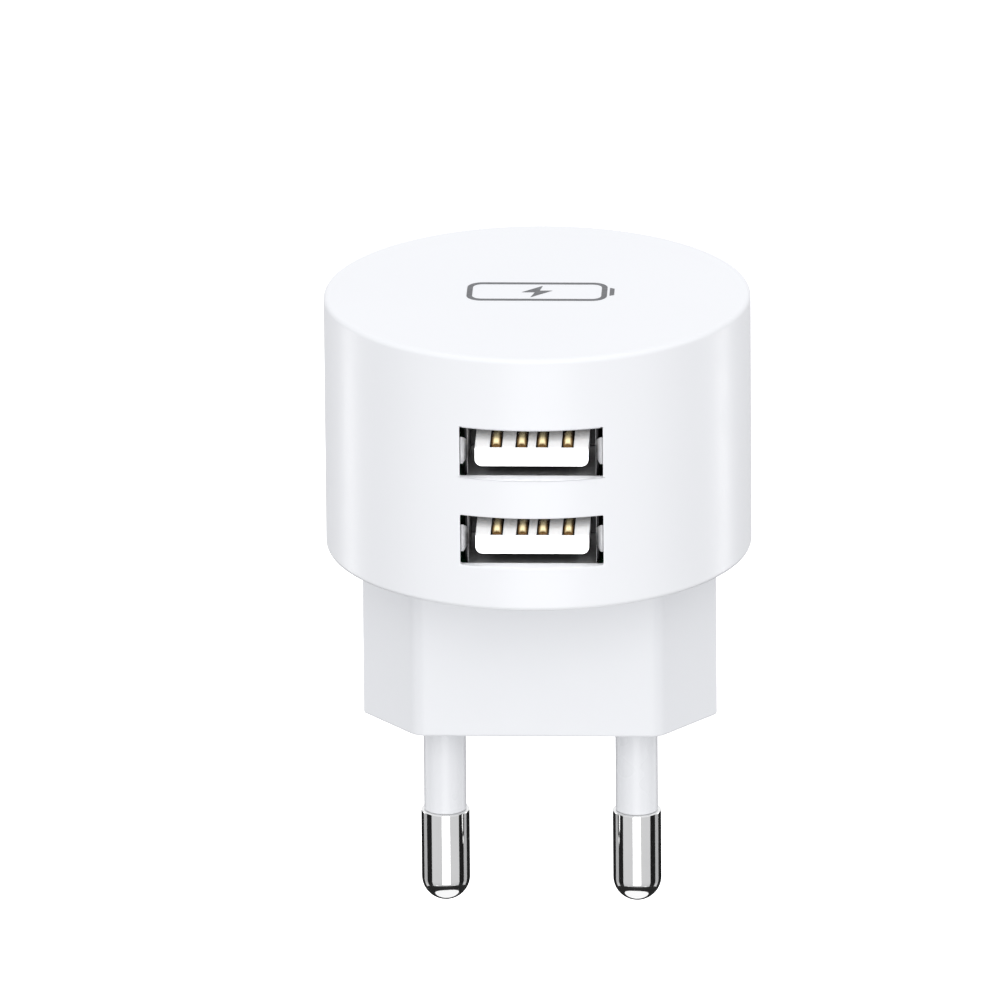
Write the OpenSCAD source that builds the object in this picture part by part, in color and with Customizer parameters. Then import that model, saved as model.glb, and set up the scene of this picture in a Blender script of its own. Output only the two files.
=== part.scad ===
// Wall charger: a two-pin plug, a six-sided neck and a round drum with two USB-A ports in its side.
// Sizes are in millimetres. The origin is the centre of the face that meets the socket.
// The pins point down along -Z, the drum stands above the neck, and the ports face -Y.

/* [Drum] */
// Outer diameter of the drum
drum_d = 42; // [42:0.5:52]
// Height of the drum
drum_h = 26; // [26:0.5:34]
// Thickness of the drum's side wall
drum_wall = 1.8; // [1.5:0.1:2.2]
// Thickness of the drum's flat top
drum_top = 2; // [1.2:0.1:2.6]
// Radius of the drum's outer edges
drum_fillet = 0.5; // [0.2:0.1:1]
// Wall left in front of a receptacle at the sides of its window
window_skin = 0.5; // [0.4:0.05:0.8]

/* [Neck] */
// Width across the neck's side corners
neck_w = 35.3; // [34.6:0.1:36]
// Thickness of the neck from front to back
neck_t = 14; // [13.6:0.1:15]
// Width of the neck's flat front
neck_flat = 24.1; // [23:0.1:25]
// Height from the socket face to the drum
neck_h = 18; // [17.5:0.5:24]
// Thickness of the neck's walls
neck_wall = 1.8; // [1.4:0.1:2]
// Thickness of the neck's floor
neck_floor = 3; // [2.8:0.1:4]
// Radius of the neck's front and back corners
corner_r = 2; // [1:0.1:3]
// Radius of the neck's side corners
side_r = 0.6; // [0.2:0.1:1.5]
// Thickness of the flange that closes the drum
flange_t = 2; // [1.5:0.1:2.4]

/* [Pins] */
// Distance between the two pins
pin_pitch = 19; // [18.5:0.1:20]
// Diameter of a pin's bare tip
pin_d = 4.8; // [4.6:0.1:5]
// Length of a pin below the socket face
pin_len = 19.5; // [18.5:0.1:24]
// Diameter of the insulating sleeve
sleeve_d = 4.2; // [3.8:0.1:4.5]
// Length of the insulating sleeve below the socket face
sleeve_len = 10; // [8:0.1:12]
// Diameter of the pin inside its sleeve
shank_d = 3; // [2.4:0.1:3.2]

/* [USB ports] */
// Inside width of a receptacle
port_w = 12.5; // [12.4:0.05:12.6]
// Inside height of a receptacle
port_h = 5.12; // [5:0.02:5.3]
// Width of the window in the drum
window_w = 14; // [13.8:0.1:15]
// Distance from the drum's top to the middle of the upper port
port_drop = 9.9; // [8.5:0.1:10.4]
// Distance between the middles of the two ports
port_pitch = 9.05; // [8.4:0.05:9.1]
// Thickness of the receptacle's sheet metal
sheet_t = 0.3; // [0.2:0.05:0.35]
// Length of a receptacle from its lips to its board
port_len = 12.95; // [12:0.05:14]
// Width of the tongue
tongue_w = 11.1; // [10.9:0.05:11.2]
// Thickness of the tongue
tongue_t = 1.84; // [1.7:0.02:2]
// Gap between the tongue and the receptacle's floor
tongue_gap = 0.74; // [0.6:0.02:0.8]
// Distance from the lips to the tongue's front
tongue_inset = 0.6; // [0.4:0.1:1.2]

/* [Contacts] */
// Width of a contact beam
contact_w = 0.9; // [0.7:0.05:1]
// Thickness of a contact beam
contact_t = 0.2; // [0.15:0.01:0.24]
// Height of a beam's crest above the tongue at rest
contact_lift = 0.36; // [0.2:0.02:0.4]
// Width of a beam's slot in the tongue
slot_w = 1.2; // [1.1:0.05:1.3]
// Depth of a beam's slot in the tongue
slot_depth = 1; // [0.98:0.01:1.2]

/* [Boards] */
// Thickness of both circuit boards
board_t = 1.2; // [0.8:0.1:1.6]
// Gap between the flange and the main board
board_lift = 0.5; // [0.3:0.05:0.6]
// Width of the upright board behind the receptacles
usb_board_w = 22; // [16:0.5:24]

/* [Transformer] */
// Length of the ferrite core
core_l = 16; // [15:0.2:17]
// Thickness of the ferrite core
core_t = 4.8; // [4:0.1:5.2]
// Height of the two core halves together
core_h = 14.5; // [13:0.1:16]
// Width of the core's outer legs
core_leg = 2; // [1.6:0.1:2.2]
// Thickness of the core's backs
core_back = 1.45; // [1.2:0.05:1.8]
// Width of the bobbin's flanges
bobbin_w = 15; // [13:0.2:15.4]

/* [Components] */
// Diameter of the input and output capacitors
capacitor_d = 8; // [7:0.1:8.2]
// Height of an input capacitor
input_capacitor_h = 12; // [9:0.5:13]
// Height of the output capacitor
output_capacitor_h = 14; // [9:0.5:16]
// Diameter of a component's leads
lead_d = 0.6; // [0.4:0.05:0.8]

/* [Hidden] */

$fn = 64;
cut = 1;              // how far a cutting solid runs past the face it cuts
fit = 0.02;           // clearance round moulded-in and pressed-in pieces
seat = 0.1;           // clearance round the flange in the drum

// Drum
drum_r = drum_d / 2;
drum_in_r = drum_r - drum_wall;
drum_end_z = neck_h + drum_h;
ceiling_z = drum_end_z - drum_top;
flange_z = neck_h + flange_t;
flange_r = drum_in_r - seat;
rim_w = 1.2;
rim_h = 1.6;
rib_w = 1;
rib_angles = [38, 90, 152];
post_angles = [55, 125, 235, 305];
post_d = 2.4;

// Ports, in a frame whose origin is the middle of the receptacle's mouth
window_edge_y = -sqrt(drum_r * drum_r - window_w * window_w / 4);
pocket_y = window_edge_y + window_skin;
port_y = pocket_y + 0.05;
upper_z = drum_end_z - port_drop;
lower_z = upper_z - port_pitch;
lip_len = 0.75;
lip_flare = window_w / 2 - port_w / 2 - sheet_t;
lip_rise = 0.35;
pocket_half_h = port_h / 2 + lip_rise + sheet_t + 0.15;
block_len = 4;
block_y = port_len - block_len;
tongue_z = -port_h / 2 + tongue_gap;
tongue_top_z = tongue_z + tongue_t;
finger_w = 1.8;
finger_len = 5.4;
finger_x = 3.2;
finger_y = 2.6;
leg_w = 1;
leg_z = 1.5;
tail_w = 0.6;
contact_x = [-3.5, -1, 1, 3.5];
contact_low = -0.35;  // height of a beam's root and tip against the tongue's top
contact_root_y = block_y - 0.05;
contact_crest_y = 3;
contact_tip_y = tongue_inset + 0.75;

// Boards
main_z = flange_z + board_lift;
main_top_z = main_z + board_t;
board_r = flange_r - rim_w - 0.5;
usb_board_y = port_y + port_len;
usb_back_y = usb_board_y + board_t;
usb_top_z = upper_z + 6.4;
tab_x = 8.5;
tab_w = 3;

// Pins
collar_d = 4.6;
collar_z = [1.2, 2.6];
pin_end_z = neck_floor + 4;
strip_t = 0.4;
strip_w = 2.8;
strip_foot = 2.4;
strip_tab = 1.2;

// Transformer, round a vertical axis
core_y = 5;
core_z = main_top_z + 2.5;
window_z = [core_z + core_back, core_z + core_h - core_back];
leg_gap = core_l / 2 - core_leg;
centre_leg = 4;
bobbin_wall = 0.7;
bobbin_flange = 0.8;
bobbin_bore_w = core_t + 0.2;
bobbin_bore_l = centre_leg + 0.2;
winding_z = [window_z[0] + bobbin_flange, window_z[1] - bobbin_flange];
winding_build = 2.2;  // thickness of the windings and their tape
transformer_pin_top = window_z[0] - 0.4;
transformer_pin_y = [-1.2:2:4.8];

// Places of the components on the main board
input_capacitor_x = 4.2;
output_capacitor_at = [bobbin_w / 2 + capacitor_d / 2 + 0.4, 5.2];
supply_capacitor_at = [-10.4, 9.8];
supply_capacitor_d = 5;
y_capacitor_at = [0, core_y + core_l / 2 + 1.85];
fuse_x = -12.4;
fuse_return = 2;
inductor_x = 12.3;
diode_at = [12.3, usb_back_y + 2.1];
bridge_at = [9.2, 11.2];
controller_at = [-12.2, 4];
chip_places = [[-14, -2.9], [-10.8, -2.9], [-7.6, -2.9], [6.4, -2.9], [-5.6, 14.2], [5.6, 14.2]];
port_controller_x = 7.8;
lead_pitch = 3.5;
lead_out = 0.8;       // how far a lead stands out of the far side of its board

// A box from its low and high limits along each axis
module box(x, y, z) {
    translate([x[0], y[0], z[0]]) cube([x[1] - x[0], y[1] - y[0], z[1] - z[0]]);
}

// A box that is centred on the YZ plane
module mid_box(w, y, z) {
    box([-w / 2, w / 2], y, z);
}

// An upright cylinder from z[0] to z[1]
module rod(d, z) {
    translate([0, 0, z[0]]) cylinder(d = d, h = z[1] - z[0]);
}

// Both places of something that stands at -x and +x
module both_sides(x) {
    for (side = [-1, 1]) translate([side * x, 0, 0]) children();
}

// A prism along Y from a section drawn in X and Z
module along_y(y) {
    translate([0, y[1], 0]) rotate([90, 0, 0]) linear_extrude(y[1] - y[0]) children();
}

// A prism across X, centred, from a section drawn in Y and Z
module across_x(w) {
    rotate([90, 0, 90]) linear_extrude(w, center = true) children();
}

// Points of an arc that rounds the corner p between its neighbours a and b
function corner_arc(a, p, b, r, steps = 10) =
    let(u = (a - p) / norm(a - p), v = (b - p) / norm(b - p),
        half = acos(u * v) / 2,
        middle = p + (u + v) / norm(u + v) * r / sin(half),
        turn = 180 - 2 * half,
        start = p + u * r / tan(half) - middle,
        way = cross(u, v) < 0 ? 1 : -1)
    [for (i = [0:steps]) let(t = way * turn * i / steps)
        middle + [start.x * cos(t) - start.y * sin(t), start.x * sin(t) + start.y * cos(t)]];

// The neck's six-sided outline, set in by d from the outer surface
function neck_outline(d) =
    let(slope = atan2(neck_t / 2, (neck_w - neck_flat) / 2),
        w = neck_w / 2 - d / sin(slope),
        t = neck_t / 2 - d,
        flat = w - t / tan(slope),
        corners = [[w, 0], [flat, t], [-flat, t], [-w, 0], [-flat, -t], [flat, -t]],
        big = max(corner_r - d, 0.3),
        radii = [side_r, big, big, side_r, big, big])
    [for (i = [0:5]) each corner_arc(corners[(i + 5) % 6], corners[i], corners[(i + 1) % 6], radii[i])];

// A beam's side view: it rises from the root to the crest in a smooth wave, and falls again to the tip
function beam_z(y) =
    let(t = y > contact_crest_y ? (contact_root_y - y) / (contact_root_y - contact_crest_y)
                                : (y - contact_tip_y) / (contact_crest_y - contact_tip_y))
    contact_low + (contact_lift - contact_low) * (1 - cos(180 * t)) / 2;

function beam_stations(n = 12) = concat(
    [for (i = [0:n]) contact_root_y + (contact_crest_y - contact_root_y) * i / n],
    [for (i = [1:n]) contact_crest_y + (contact_tip_y - contact_crest_y) * i / n]);

function beam_outline() =
    let(ys = beam_stations(), last = len(ys) - 1)
    concat([for (y = ys) [y, beam_z(y)]], [for (i = [last:-1:0]) [ys[i], beam_z(ys[i]) - contact_t]]);

// The casing

module drum_solid() {
    rotate_extrude() {
        square([drum_r - drum_fillet, drum_h]);
        translate([0, drum_fillet]) square([drum_r, drum_h - 2 * drum_fillet]);
        for (z = [drum_fillet, drum_h - drum_fillet]) translate([drum_r - drum_fillet, z]) intersection() {
            circle(drum_fillet);
            translate([-drum_r / 2, -drum_h]) square([drum_r, 2 * drum_h]);
        }
    }
}

module outer_shell() {
    color("white") {
        difference() {
            translate([0, 0, neck_h]) drum_solid();
            rod(2 * drum_in_r, [neck_h - cut, ceiling_z]);
            for (z = [upper_z, lower_z])
                mid_box(window_w, [-drum_r - cut, 0], [z - port_h / 2, z + port_h / 2]);
            mid_box(window_w + 0.6, [pocket_y, 0], [lower_z - pocket_half_h, upper_z + pocket_half_h]);
        }
        for (a = rib_angles) rotate([0, 0, a]) box([board_r - 0.5, drum_in_r + drum_wall / 2],
            [-rib_w / 2, rib_w / 2], [main_top_z, ceiling_z + 0.5]);
    }
}

module plug_base() {
    color("white") difference() {
        union() {
            linear_extrude(neck_h + flange_t / 2) polygon(neck_outline(0));
            rod(2 * flange_r, [neck_h, flange_z]);
            difference() {
                rod(2 * flange_r, [flange_z - cut, flange_z + rim_h]);
                rod(2 * (flange_r - rim_w), [flange_z - 2 * cut, flange_z + rim_h + cut]);
            }
            for (a = post_angles) rotate([0, 0, a]) translate([board_r - 2, 0, 0])
                rod(post_d, [flange_z - cut, main_z]);
        }
        translate([0, 0, neck_floor]) linear_extrude(neck_h + flange_t) polygon(neck_outline(neck_wall));
        both_sides(pin_pitch / 2) {
            rod(sleeve_d + 2 * fit, [-cut, collar_z[0]]);
            rod(collar_d + 2 * fit, [collar_z[0] - fit, collar_z[1] + fit]);
            rod(shank_d + 2 * fit, [0, neck_floor + cut]);
        }
    }
}

// Pins, sleeves and the strips that lead from them to the main board

module pin() {
    tip_r = pin_d / 2;
    color("silver") {
        translate([0, 0, tip_r - pin_len]) sphere(tip_r);
        rod(pin_d, [tip_r - pin_len, -sleeve_len]);
        rod(shank_d, [-sleeve_len - cut, pin_end_z]);
        rod(collar_d, collar_z);
    }
}

module pin_sleeve() {
    color("gainsboro") difference() {
        rod(sleeve_d, [-sleeve_len, collar_z[0] - fit]);
        rod(shank_d + 2 * fit, [-sleeve_len - cut, collar_z[0] + cut]);
    }
}

// A strip that stands on the pin's end with a flat foot and goes through the main board with a narrow tab
module contact_spring() {
    color("darkgoldenrod") {
        box([-strip_foot / 2, strip_foot / 2], [-strip_w / 2, strip_w / 2], [pin_end_z, pin_end_z + strip_t]);
        mid_box(strip_t, [-strip_w / 2, strip_w / 2], [pin_end_z, main_z]);
        mid_box(strip_t, [-strip_tab / 2, strip_tab / 2], [main_z - cut, main_top_z + lead_out]);
    }
}

module at_pin(side) {
    translate([side * pin_pitch / 2, 0, 0]) children();
}

module left_pin() { at_pin(-1) pin(); }
module right_pin() { at_pin(1) pin(); }
module left_pin_sleeve() { at_pin(-1) pin_sleeve(); }
module right_pin_sleeve() { at_pin(1) pin_sleeve(); }
module left_contact_spring() { at_pin(-1) contact_spring(); }
module right_contact_spring() { at_pin(1) contact_spring(); }

// USB-A receptacles, drawn with the middle of the mouth at the origin and the inside towards +Y

module in_port(z) {
    translate([0, port_y, z]) children();
}

// A flared lip on the +Z wall of an opening of half height h, root wide at the wall and tip wide at its edge
module lip(h, rise, root, tip) {
    intersection() {
        across_x(tip + cut)
            polygon([[lip_len, h], [lip_len, h + sheet_t], [0, h + rise + sheet_t], [0, h + rise]]);
        linear_extrude(h + rise + cut)
            polygon([[-tip / 2, 0], [tip / 2, 0], [root / 2, lip_len], [-root / 2, lip_len]]);
    }
}

// A spring finger cut from the +Z wall and bent into the opening by its dip
module finger(h, dip) {
    end = finger_y + finger_len;
    low = h - dip;
    across_x(finger_w) polygon([[end + 0.3, h], [end + 0.3, h + sheet_t], [end - 1, h + sheet_t],
        [finger_y + 1.6, low + sheet_t], [finger_y + 0.4, h + 0.1], [finger_y + 0.3, h - 0.1],
        [finger_y + 1.6, low], [end - 1, h]]);
}

module usb_shell() {
    h = port_h / 2;
    w = port_w / 2;
    color("darkgray") {
        difference() {
            mid_box(port_w + 2 * sheet_t, [lip_len, port_len], [-h - sheet_t, h + sheet_t]);
            mid_box(port_w, [0, port_len + cut], [-h, h]);
            both_sides(finger_x) mid_box(finger_w + 0.6, [finger_y, finger_y + finger_len], [-2 * h, 2 * h]);
        }
        both_sides(finger_x) {
            finger(h, 0.4);
            mirror([0, 0, 1]) finger(h, 0.3);
        }
        lip(h, lip_rise, port_w - 1, port_w - 0.4);
        mirror([0, 0, 1]) lip(h, lip_rise, port_w, port_w + 1);
        for (a = [-90, 90]) rotate([0, a, 0]) lip(w, lip_flare, 1.8, 2.8);
        for (z = [-leg_z, leg_z]) both_sides(w + sheet_t / 2)
            mid_box(sheet_t, [port_len - cut, port_len + board_t + lead_out], [z - leg_w / 2, z + leg_w / 2]);
    }
}

module insulator() {
    corner = 0.7;
    middle = tongue_w / 2 - corner;
    block_w = port_w - 0.1;
    block_h = port_h - 0.1;
    root_z = tongue_top_z + contact_low;
    color("white") difference() {
        union() {
            translate([0, 0, tongue_z]) along_y([tongue_inset, port_len]) {
                translate([-tongue_w / 2, corner]) square([tongue_w, tongue_t - corner]);
                translate([-middle, 0]) square([2 * middle, tongue_t]);
                for (side = [-1, 1]) translate([side * middle, corner]) circle(corner);
            }
            mid_box(block_w, [block_y, port_len - fit], [-block_h / 2, block_h / 2]);
        }
        for (x = contact_x) translate([x, 0, 0]) {
            mid_box(slot_w, [tongue_inset + 0.3, block_y], [tongue_top_z - slot_depth, tongue_top_z + cut]);
            mid_box(tail_w + 2 * fit, [block_y - cut, port_len + cut],
                [root_z - contact_t - fit, root_z + fit]);
        }
    }
}

module contact(number) {
    color("gold") translate([contact_x[number - 1], 0, tongue_top_z])
        across_x(contact_w) polygon(beam_outline());
}

module contact_tails() {
    root_z = tongue_top_z + contact_low;
    color("goldenrod") for (x = contact_x) translate([x, 0, 0])
        mid_box(tail_w, [block_y, port_len + board_t + lead_out], [root_z - contact_t, root_z]);
}

module upper_usb_shell() { in_port(upper_z) usb_shell(); }
module lower_usb_shell() { in_port(lower_z) usb_shell(); }
module upper_insulator() { in_port(upper_z) insulator(); }
module lower_insulator() { in_port(lower_z) insulator(); }
module upper_contact_1() { in_port(upper_z) contact(1); }
module upper_contact_2() { in_port(upper_z) contact(2); }
module upper_contact_3() { in_port(upper_z) contact(3); }
module upper_contact_4() { in_port(upper_z) contact(4); }
module lower_contact_1() { in_port(lower_z) contact(1); }
module lower_contact_2() { in_port(lower_z) contact(2); }
module lower_contact_3() { in_port(lower_z) contact(3); }
module lower_contact_4() { in_port(lower_z) contact(4); }
module upper_contact_tails() { in_port(upper_z) contact_tails(); }
module lower_contact_tails() { in_port(lower_z) contact_tails(); }

// Circuit boards

// The places of the transformer's pins
module at_transformer_pins() {
    for (y = transformer_pin_y) translate([0, core_y + y, 0]) both_sides(bobbin_w / 2 - 1) children();
}

module lead_hole() {
    rod(lead_d + 2 * fit, [main_z - cut, main_top_z + cut]);
}

module main_board() {
    through = [main_z - cut, main_top_z + cut];
    round_lead_x = [fuse_x, fuse_x + fuse_return, inductor_x - 1, inductor_x + 1];
    color("darkgreen") difference() {
        rod(2 * board_r, [main_z, main_top_z]);
        both_sides(input_capacitor_x) both_sides(lead_pitch / 2) lead_hole();
        translate(output_capacitor_at) both_sides(lead_pitch / 2) lead_hole();
        translate(supply_capacitor_at) both_sides(1) lead_hole();
        translate(y_capacitor_at) both_sides(2.5) lead_hole();
        for (x = round_lead_x) translate([x, 0, 0]) lead_hole();
        at_transformer_pins() lead_hole();
        both_sides(pin_pitch / 2)
            mid_box(strip_t + 2 * fit, [-strip_tab / 2 - fit, strip_tab / 2 + fit], through);
        both_sides(tab_x) mid_box(tab_w + 2 * fit, [usb_board_y - fit, usb_back_y + fit], through);
    }
}

module usb_board() {
    root_z = tongue_top_z + contact_low - contact_t / 2;
    through = [usb_board_y - cut, usb_back_y + cut];
    color("seagreen") difference() {
        union() {
            mid_box(usb_board_w, [usb_board_y, usb_back_y], [main_top_z, usb_top_z]);
            both_sides(tab_x) mid_box(tab_w, [usb_board_y, usb_back_y], [main_z - 0.2, main_top_z + cut]);
        }
        for (z = [upper_z, lower_z]) translate([0, 0, z]) {
            for (x = contact_x) translate([x, 0, root_z]) along_y(through) circle(d = 1);
            for (leg = [-leg_z, leg_z]) both_sides((port_w + sheet_t) / 2)
                mid_box(sheet_t + 2 * fit, through, [leg - leg_w / 2 - fit, leg + leg_w / 2 + fit]);
        }
    }
}

// Transformer

module core_half() {
    leg_z_span = [core_z, core_z + core_h / 2 - fit];
    color("dimgray") translate([0, core_y, 0]) {
        mid_box(core_t, [-core_l / 2, core_l / 2], [core_z, window_z[0]]);
        for (y = [-core_l / 2, leg_gap]) mid_box(core_t, [y, y + core_leg], leg_z_span);
        mid_box(core_t, [-centre_leg / 2, centre_leg / 2], leg_z_span);
    }
}

module core_lower() { core_half(); }
module core_upper() { translate([0, 0, 2 * core_z + core_h]) mirror([0, 0, 1]) core_half(); }

// A box round the transformer's axis
module axis_box(w, l, z) {
    translate([0, core_y, 0]) mid_box(w, [-l / 2, l / 2], z);
}

module bobbin() {
    flange_l = 2 * leg_gap - 0.4;
    ends = [window_z[0] + 0.1, window_z[1] - 0.1];
    color("black") difference() {
        union() {
            axis_box(bobbin_bore_w + 2 * bobbin_wall, bobbin_bore_l + 2 * bobbin_wall, ends);
            axis_box(bobbin_w, flange_l, [ends[0], winding_z[0]]);
            axis_box(bobbin_w, flange_l, [winding_z[1], ends[1]]);
            both_sides(bobbin_w / 2 - 1) axis_box(2, flange_l, [window_z[0] - 2, winding_z[0]]);
        }
        axis_box(bobbin_bore_w, bobbin_bore_l, [core_z, core_z + core_h]);
        at_transformer_pins() rod(lead_d + 2 * fit, [core_z - cut, transformer_pin_top]);
    }
}

module winding() {
    in_w = bobbin_bore_w + 2 * bobbin_wall + 2 * fit;
    in_l = bobbin_bore_l + 2 * bobbin_wall + 2 * fit;
    color("gold") difference() {
        axis_box(in_w + 2 * winding_build, in_l + 2 * winding_build, winding_z);
        axis_box(in_w, in_l, [core_z, core_z + core_h]);
    }
}

module transformer_pins() {
    color("silver") at_transformer_pins() rod(lead_d, [main_z - board_lift / 2, transformer_pin_top]);
}

// Components

// A capacitor can that stands on z = 0, with a crimp groove and two leads below it
module capacitor(d, h, pitch, lead) {
    groove = 0.3;
    difference() {
        rod(d, [0, h]);
        translate([0, 0, 1.6]) rotate_extrude() translate([d / 2, 0]) circle(groove);
        difference() {
            rod(d - 1.6, [h - 0.15, h + cut]);
            rod(d - 2.2, [h - cut, h + 2 * cut]);
        }
    }
    both_sides(pitch / 2) rod(lead_d, [-lead, 0.5]);
}

module input_capacitor() {
    color("dimgray") translate([0, 0, main_z]) mirror([0, 0, 1])
        capacitor(capacitor_d, input_capacitor_h, lead_pitch, board_t + lead_out);
}

module input_capacitor_1() { translate([-input_capacitor_x, 0, 0]) input_capacitor(); }
module input_capacitor_2() { translate([input_capacitor_x, 0, 0]) input_capacitor(); }

module output_capacitor() {
    color("lightslategray") translate([output_capacitor_at.x, output_capacitor_at.y, main_top_z])
        capacitor(capacitor_d, output_capacitor_h, lead_pitch, board_t + board_lift / 2);
}

module supply_capacitor() {
    color("darkslategray") translate([supply_capacitor_at.x, supply_capacitor_at.y, main_top_z])
        capacitor(supply_capacitor_d, 11, 2, board_t + board_lift / 2);
}

module y_capacitor() {
    disc_d = 8;
    disc_t = 3;
    color("royalblue") translate([y_capacitor_at.x, y_capacitor_at.y, main_top_z]) {
        translate([0, disc_t / 2, disc_d / 2 + 1]) rotate([90, 0, 0]) cylinder(d = disc_d, h = disc_t);
        both_sides(2.5) rod(lead_d, [-board_t - board_lift / 2, disc_d / 2]);
    }
}

module fuse_resistor() {
    body_z = [main_z - 11.5, main_z - 2.5];
    turn_z = body_z[0] - 0.8;
    color("seagreen") translate([fuse_x, 0, 0]) {
        rod(3, body_z);
        rod(lead_d, [turn_z, main_top_z + lead_out]);
        translate([fuse_return, 0, 0]) rod(lead_d, [turn_z, main_top_z + lead_out]);
        translate([0, 0, turn_z]) rotate([0, 90, 0]) cylinder(d = lead_d, h = fuse_return);
        for (x = [0, fuse_return]) translate([x, 0, turn_z]) sphere(d = lead_d);
    }
}

module input_inductor() {
    color("black") translate([inductor_x, 0, 0]) {
        rod(4, [main_z - 9, main_z - 7.8]);
        rod(3.2, [main_z - 8.5, main_z - 1.5]);
        rod(4, [main_z - 2.2, main_z - 1]);
        both_sides(1) rod(lead_d, [main_z - 1.5, main_top_z + lead_out]);
    }
}

// A surface-mounted body with gull-wing leads on both sides along X
module chip(w, l, h, leads, pitch, span) {
    mid_box(w, [-l / 2, l / 2], [0.1, h]);
    for (i = [0:leads - 1]) let(y = (i - (leads - 1) / 2) * pitch)
        mid_box(span, [y - 0.2, y + 0.2], [0, 0.3]);
}

module bridge_rectifier() {
    color("black") translate([bridge_at.x, bridge_at.y, main_top_z]) chip(3.2, 3.6, 2.2, 2, 2, 4);
}

module controller_chip() {
    color("black") translate([controller_at.x, controller_at.y, main_top_z]) chip(3.9, 4.9, 1.5, 4, 1.27, 6);
}

module rectifier_diode() {
    color("black") translate([diode_at.x, diode_at.y, main_top_z]) chip(4.2, 3, 2.2, 1, 1, 5);
}

module port_controller() {
    color("black") translate([port_controller_x, usb_back_y, upper_z + 3.2]) rotate([-90, 0, 0])
        chip(1.7, 3, 1.1, 3, 0.95, 2.8);
}

module chip_components() {
    color("tan") for (place = chip_places) translate([place.x, place.y, main_top_z])
        mid_box(2, [-0.6, 0.6], [0, 0.6]);
}

outer_shell();
plug_base();
left_pin();
right_pin();
left_pin_sleeve();
right_pin_sleeve();
left_contact_spring();
right_contact_spring();
main_board();
usb_board();
upper_usb_shell();
lower_usb_shell();
upper_insulator();
lower_insulator();
upper_contact_1();
upper_contact_2();
upper_contact_3();
upper_contact_4();
lower_contact_1();
lower_contact_2();
lower_contact_3();
lower_contact_4();
upper_contact_tails();
lower_contact_tails();
core_upper();
core_lower();
bobbin();
winding();
transformer_pins();
input_capacitor_1();
input_capacitor_2();
output_capacitor();
supply_capacitor();
y_capacitor();
fuse_resistor();
input_inductor();
bridge_rectifier();
controller_chip();
rectifier_diode();
port_controller();
chip_components();
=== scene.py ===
"""The looks of the wall charger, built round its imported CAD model.
Everything is in metres, in the model's frame: the socket face is at z = 0, the pins point down,
the drum is above and the USB ports face -Y."""
import math

import bmesh
import bpy
from mathutils import Matrix, Vector


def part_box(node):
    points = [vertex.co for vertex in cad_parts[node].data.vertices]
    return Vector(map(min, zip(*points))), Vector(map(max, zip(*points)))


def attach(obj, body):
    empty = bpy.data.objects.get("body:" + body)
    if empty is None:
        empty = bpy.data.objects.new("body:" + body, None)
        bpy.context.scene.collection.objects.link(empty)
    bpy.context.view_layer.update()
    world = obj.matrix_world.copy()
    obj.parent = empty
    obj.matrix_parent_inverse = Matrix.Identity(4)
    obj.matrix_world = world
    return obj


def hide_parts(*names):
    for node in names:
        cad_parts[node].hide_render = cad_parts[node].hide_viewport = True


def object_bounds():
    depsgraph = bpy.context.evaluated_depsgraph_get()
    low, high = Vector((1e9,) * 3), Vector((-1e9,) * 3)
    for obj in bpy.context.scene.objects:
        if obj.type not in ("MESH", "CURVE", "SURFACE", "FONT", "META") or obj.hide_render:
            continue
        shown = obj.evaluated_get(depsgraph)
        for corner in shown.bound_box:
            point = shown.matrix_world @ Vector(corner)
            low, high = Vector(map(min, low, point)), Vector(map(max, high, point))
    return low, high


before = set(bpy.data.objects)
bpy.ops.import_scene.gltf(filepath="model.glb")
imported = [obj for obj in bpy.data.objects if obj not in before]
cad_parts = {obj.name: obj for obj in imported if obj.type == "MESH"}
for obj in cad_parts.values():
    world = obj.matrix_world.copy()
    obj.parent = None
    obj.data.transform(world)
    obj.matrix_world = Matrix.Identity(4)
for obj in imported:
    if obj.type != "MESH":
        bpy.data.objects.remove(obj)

cad_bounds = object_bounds()
MM = 0.001

# Sizes of the casing, pins and ports that the frame's boxes don't give
DRUM_FILLET = 0.5 * MM
DRUM_TOP = 2.0 * MM
FLANGE_SEAT = 0.1 * MM
FLANGE_T = 2.0 * MM
RIM_W = 1.2 * MM
NECK_H = 18.0 * MM
NECK_W = 35.3 * MM
NECK_T = 14.0 * MM
NECK_FLAT = 24.1 * MM
NECK_WALL = 1.8 * MM
NECK_FLOOR = 3.0 * MM
CORNER_R = 2.0 * MM
SIDE_R = 0.6 * MM
PORT_H = 5.12 * MM
WINDOW_W = 14.0 * MM
SHANK_R = 1.5 * MM
COLLAR_R = 2.3 * MM
COLLAR_Z = (1.2 * MM, 2.6 * MM)
CONTACT_T = 0.2 * MM
CREST_FROM_TIP = 1.65 * MM
TIP_SET_BACK = 0.3 * MM

# Shades of the cards that the bright pins reflect
BLACK, GREY, PALE = 0.004, 0.5, 0.8


# ---------------------------------------------------------------- camera, lights and floor

def view_axes(azimuth, elevation):
    """Unit vectors to the viewer, to the right and up, for a view from those angles in degrees."""
    a, e = math.radians(azimuth), math.radians(elevation)
    back = Vector((math.sin(a) * math.cos(e), -math.cos(a) * math.cos(e), math.sin(e)))
    right = Vector((math.cos(a), math.sin(a), 0))
    return back, right, back.cross(right)


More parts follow.
